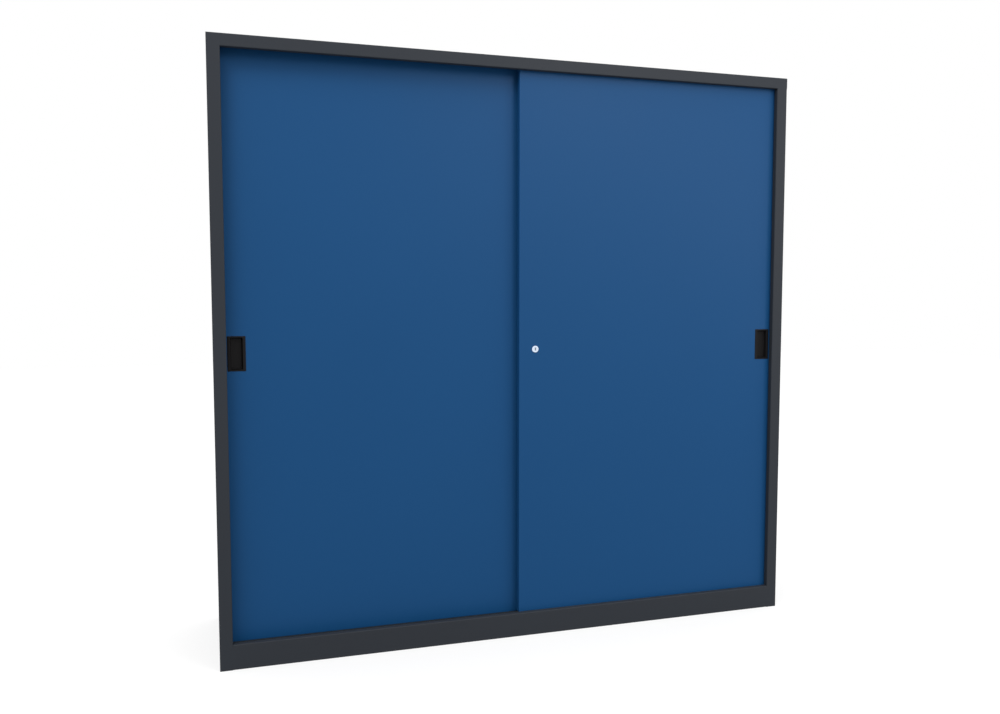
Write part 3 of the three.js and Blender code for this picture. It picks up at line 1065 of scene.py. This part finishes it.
class CABINET_OT_finger_pulls(bpy.types.Operator):
    """Mould the two finger pulls"""

    bl_idname = "cabinet.finger_pulls"
    bl_label = "Finger Pulls"

    def execute(self, context):
        for side in ("left", "right"):
            self.mould(context.scene.cabinet_shapes, f"finger_pull_{side}")
        return {"FINISHED"}

    def mould(self, shapes, node):
        """A plate with a sloping border, and in it a cup whose walls lean in"""
        low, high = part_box(node)
        door_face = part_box(node.replace("finger_pull", "door_panel"))[0].y
        cup_floor = high.y - shapes.pull_floor
        shoulder = low.y + shapes.pull_slope_rise

        # The plate, its sides back to the door, its slope, and the cup's mouth and floor
        shape = bmesh.new()
        outline = [(low.x, low.z), (high.x, low.z), (high.x, high.z), (low.x, high.z)]
        front = shape.faces.new([shape.verts.new((x, shoulder, z)) for x, z in outline])
        skirt = bmesh.ops.extrude_edge_only(shape, edges=list(front.edges))["geom"]
        back = [part for part in skirt if isinstance(part, bmesh.types.BMVert)]
        bmesh.ops.translate(shape, vec=(0, door_face - shoulder, 0), verts=back)
        self.step_in(shape, front, shapes.pull_slope, shapes.pull_slope, low.y)
        from_side = shapes.pull_side_border - shapes.pull_slope
        from_end = shapes.pull_end_border - shapes.pull_slope
        self.step_in(shape, front, from_side, from_end, low.y)
        self.step_in(shape, front, shapes.pull_draft, shapes.pull_draft, cup_floor)

        # The plate's upright corners, the cup's walls, the ring around its floor and its rim
        merge(shape)
        deep = (low.y + cup_floor) / 2
        walls = [edge for edge in shape.edges if self.crosses(edge, deep)]
        turns = [
            edge
            for edge in shape.edges
            if edge not in walls
            and (self.crosses(edge, shoulder - SLACK) or self.crosses(edge, shoulder + SLACK))
        ]
        round_edges(shape, turns, shapes.pull_corner, PLATE_STEPS)
        round_edges(shape, walls, shapes.pull_cove, COVE_STEPS)
        floor_ring = [e for e in corners(shape) if all(v.co.y > deep for v in e.verts)]
        round_edges(shape, floor_ring, shapes.pull_cove, COVE_STEPS)
        rim = [e for e in corners(shape) if all(abs(v.co.y - low.y) < SLACK for v in e.verts)]
        round_edges(shape, rim, shapes.pull_rim, RIM_STEPS)
        made = piece(f"{node}_moulding", shape, BODY_OF[node], SLOT_OF[node], node)

        # The wall grows inwards, and before the normals are evened
        wall = made.modifiers.new("wall", "SOLIDIFY")
        wall.thickness = shapes.pull_wall
        wall.offset = -1
        made.modifiers.move(1, 0)

    def step_in(self, shape, face, from_side, from_end, depth):
        """Insets a face by its own widths at the sides and ends, and lays it at a depth"""
        bmesh.ops.inset_individual(shape, faces=[face], thickness=from_end, use_even_offset=True)
        centre = face.calc_center_median().x
        for vert in face.verts:
            vert.co.x -= math.copysign(from_side - from_end, vert.co.x - centre)
            vert.co.y = depth

    def crosses(self, edge, depth):
        """Whether an edge runs from before a depth to behind it"""
        places = [vert.co.y for vert in edge.verts]
        return min(places) < depth < max(places)


class CABINET_OT_lock(bpy.types.Operator):
    """Dress the lock: flange, keyed core, bolt and nut, and a black dust shutter that also paints
    shade into the keyway
    """

    bl_idname = "cabinet.lock"
    bl_label = "Lock"

    def execute(self, context):
        shapes = context.scene.cabinet_shapes
        for node in ("lock_housing", "lock_core", "lock_bolt", "lock_nut"):
            worked_copy(node, "turned", shapes.machined_edge)
        self.shutter(shapes)
        return {"FINISHED"}

    def shutter(self, shapes):
        """The sprung, dished shutter that keeps dust out of the keyway; its black plastic is also
        painted shade, standing in for the shade deep inside the keyway
        """
        width = shapes.keyway_width - 2 * shapes.shutter_gap
        height = shapes.keyway_height - 2 * shapes.shutter_gap
        centre = middle("lock_core")
        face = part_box("lock_core")[0].y + shapes.shutter_recess
        centre.y = face + shapes.shutter_sheet / 2
        shape = block(centre, (width, shapes.shutter_sheet, height))
        front = min(shape.faces, key=lambda side: side.normal.y)
        rim = width * SHUTTER_RIM_SHARE
        bmesh.ops.inset_individual(shape, faces=[front], thickness=rim, use_even_offset=True)
        for vert in front.verts:
            vert.co.y += width * SHUTTER_DISH_SHARE
        round_edges(shape, corners(shape), shapes.machined_edge)
        # A dust shutter that is partly real and partly painted shade: its near-black plastic makes
        # the keyway dark where only shade would be
        piece("keyway_shutter_painted_shade", shape, "lock_core", "black_plastic")


class CABINET_OT_running_gear(bpy.types.Operator):
    """Turn the rollers and dress their housings and the top guides"""

    bl_idname = "cabinet.running_gear"
    bl_label = "Running Gear"

    def execute(self, context):
        shapes = context.scene.cabinet_shapes
        for side in ("left", "right"):
            for end in ("outer", "inner"):
                worked_copy(f"roller_housing_{side}_{end}", "moulding", shapes.housing_edge)
                worked_copy(f"top_guide_{side}_{end}", "moulding", shapes.moulded_edge)
                worked_copy(f"roller_{side}_{end}", "turned", shapes.machined_edge)
        return {"FINISHED"}


class CABINET_OT_fasteners(bpy.types.Operator):
    """Set the rivets that hold the shelf bearers, the back and the strike"""

    bl_idname = "cabinet.fasteners"
    bl_label = "Fasteners"

    def execute(self, context):
        shapes = context.scene.cabinet_shapes
        self.bearer_rivets(shapes)
        self.back_rivets(shapes)
        self.strike_rivets(shapes)
        return {"FINISHED"}

    def rivets(self, shapes, name, places, facing, body, slot):
        """A head at each place on a sheet that faces the given way"""
        heads = bmesh.new()
        head = dome(shapes.rivet_radius, shapes.rivet_rise, shapes.rivet_seat)
        copies_on(heads, head, places, facing)
        piece(name, heads, body, slot)

    def bearer_rivets(self, shapes):
        """The rivets through the upright legs of the shelf bearers"""
        for side, way in (("left", -1), ("right", 1)):
            for end, facing in (("outer", -way), ("inner", way)):
                places = []
                for level in range(1, SHELVES_PER_BAY + 1):
                    low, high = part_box(f"shelf_bearer_{side}_{level}_{end}")
                    sheet = shapes.bearer_sheet
                    leg = low.x + sheet if facing > 0 else high.x - sheet
                    up = low.z + shapes.bearer_rivet_lift
                    for share in BEARER_RIVET_SHARES:
                        places.append((leg, low.y + share * (high.y - low.y), up))
                name = f"bearer_rivets_{side}_{end}"
                self.rivets(shapes, name, places, (facing, 0, 0), "carcass", "zinc_steel")

    def back_rivets(self, shapes):
        """A row of rivets up each side of the back panels"""
        inset = shapes.back_rivet_inset
        margin = shapes.back_rivet_margin
        spaces = shapes.back_rivet_rows - 1
        for side in ("left", "right"):
            low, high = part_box(f"back_panel_{side}")
            pitch = (high.z - low.z - 2 * margin) / spaces
            rows = [low.z + margin + i * pitch for i in range(spaces + 1)]
            places = [(x, high.y, z) for x in (low.x + inset, high.x - inset) for z in rows]
            name = f"back_rivets_{side}"
            self.rivets(shapes, name, places, (0, 1, 0), "carcass", "anthracite_paint")

    def strike_rivets(self, shapes):
        """The rivets through the brims of the strike"""
        low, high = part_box("lock_strike")
        inset = shapes.strike_rivet_inset
        margin = shapes.strike_rivet_margin
        brim = high.y - shapes.strike_sheet
        columns = (low.x + inset, high.x - inset)
        rows = (low.z + margin, high.z - margin)
        places = [(x, brim, z) for x in columns for z in rows]
        body = BODY_OF["lock_strike"]
        self.rivets(shapes, "strike_rivets", places, (0, -1, 0), body, "zinc_steel")


class CABINET_OT_camera(bpy.types.Operator):
    """Set the camera"""

    bl_idname = "cabinet.camera"
    bl_label = "Camera"

    def execute(self, context):
        stage = context.scene.cabinet_stage
        camera = bpy.data.cameras.new("camera")
        camera.sensor_width = SENSOR_WIDTH
        camera.sensor_fit = "HORIZONTAL"
        camera.lens = stage.focal_length
        camera.clip_end = VIEW_END
        holder = bpy.data.objects.new("camera", camera)
        holder.location = stage.camera_place
        holder.rotation_euler = stage.camera_turn
        context.scene.collection.objects.link(holder)
        context.scene.camera = holder
        return {"FINISHED"}


class CABINET_OT_stage(bpy.types.Operator):
    """Lay the pale floor and hang the soft studio light"""

    bl_idname = "cabinet.stage"
    bl_label = "Stage"

    def execute(self, context):
        stage = context.scene.cabinet_stage
        context.scene.view_settings.view_transform = "Standard"
        self.floor(context, stage)
        self.surroundings(context, stage)
        self.softbox(context, stage, "key", stage.key_power, stage.key_place)
        self.softbox(context, stage, "right", stage.right_power, stage.right_place)
        self.softbox(context, stage, "left", stage.left_power, stage.left_place)
        return {"FINISHED"}

    def seen(self, finish):
        """1 on rays from the camera, from gloss and through glass"""
        outputs = finish.node("ShaderNodeLightPath").outputs
        camera = Signal(finish, outputs["Is Camera Ray"])
        gloss = Signal(finish, outputs["Is Glossy Ray"])
        glass = Signal(finish, outputs["Is Transmission Ray"])
        return camera.either(gloss.either(glass))

    def floor(self, context, stage):
        """A pale floor, on which the camera sees white wherever no shadow falls"""
        shape = bmesh.new()
        bmesh.ops.create_grid(shape, x_segments=1, y_segments=1, size=FLOOR_REACH)
        mesh = bpy.data.meshes.new("floor")
        shape.to_mesh(mesh)
        shape.free()
        floor = bpy.data.objects.new("floor", mesh)
        floor.location.z = -FLOOR_DROP
        context.scene.collection.objects.link(floor)
        finish = Finish(bpy.data.materials.new("pale_floor"))
        mottle = finish.noise(finish.place(), FLOOR_MOTTLE, detail=2)
        colour = finish.shaded(stage.floor_colour, 0.98 + mottle * 0.04)
        diffuse = finish.signal("ShaderNodeBsdfDiffuse", None, {"Color": colour})
        values = {"Color": WHITE, "Strength": self.seen(finish) * stage.floor_lift}
        lift = finish.signal("ShaderNodeEmission", None, values)
        both = finish.signal("ShaderNodeAddShader", None, {0: diffuse, 1: lift})
        finish.node("ShaderNodeOutputMaterial", None, {"Surface": both})
        mesh.materials.append(finish.owner)

    def surroundings(self, context, stage):
        """White wherever it is seen, and otherwise light that grows towards straight above"""
        world = bpy.data.worlds.new("surroundings")
        context.scene.world = world
        finish = Finish(world)
        way = finish.signal("ShaderNodeTexCoord", output="Generated")
        up = finish.signal("ShaderNodeSeparateXYZ", None, {0: way}, "Z")
        strength = stage.sky_level + up.within(0, 1) * (stage.sky_above - stage.sky_level)
        seen = self.seen(finish)
        values = {"Color": WHITE, "Strength": seen + (1 - seen) * strength}
        shader = finish.signal("ShaderNodeBackground", None, values)
        finish.node("ShaderNodeOutputWorld", None, {"Surface": shader})

    def softbox(self, context, stage, name, power, place):
        """A square soft lamp that hangs at a place and faces the cabinet"""
        lamp = bpy.data.lights.new(name, "AREA")
        lamp.shape = "SQUARE"
        lamp.size = stage.softbox_size
        lamp.energy = power
        holder = bpy.data.objects.new(name, lamp)
        holder.location = place
        way = Vector(stage.lamp_aim) - Vector(place)
        holder.rotation_euler = way.to_track_quat("-Z", "Y").to_euler()
        context.scene.collection.objects.link(holder)


class CABINET_PT_tools(bpy.types.Panel):
    """Lists the steps that dress the cabinet, and their settings"""

    bl_idname = "CABINET_PT_tools"
    bl_label = "Sliding Door Cabinet"
    bl_space_type = "VIEW_3D"
    bl_region_type = "UI"
    bl_category = "Cabinet"

    def draw(self, context):
        for step in STEPS:
            self.layout.operator(step.bl_idname)
        for name in SETTINGS:
            settings = getattr(context.scene, name)
            box = self.layout.box()
            for prop in settings.bl_rna.properties:
                if prop.identifier not in {"rna_type", "name"}:
                    box.prop(settings, prop.identifier)


STEPS = (
    CABINET_OT_camera,
    CABINET_OT_carcass,
    CABINET_OT_seams,
    CABINET_OT_shelves,
    CABINET_OT_doors,
    CABINET_OT_finger_pulls,
    CABINET_OT_lock,
    CABINET_OT_running_gear,
    CABINET_OT_fasteners,
    CABINET_OT_stage,
)

SETTINGS = {
    "cabinet_finishes": CabinetFinishes,
    "cabinet_shapes": CabinetShapes,
    "cabinet_stage": CabinetStage,
}


def register():
    for known in (*SETTINGS.values(), *STEPS, CABINET_PT_tools):
        bpy.utils.register_class(known)
    for name, group in SETTINGS.items():
        setattr(bpy.types.Scene, name, PointerProperty(type=group))


def unregister():
    for name in SETTINGS:
        delattr(bpy.types.Scene, name)
    for known in reversed((*SETTINGS.values(), *STEPS, CABINET_PT_tools)):
        bpy.utils.unregister_class(known)


def main():
    """Runs each step in order"""
    register()
    for step in STEPS:
        group, name = step.bl_idname.split(".")
        getattr(getattr(bpy.ops, group), name)()


if __name__ == "__main__":
    main()
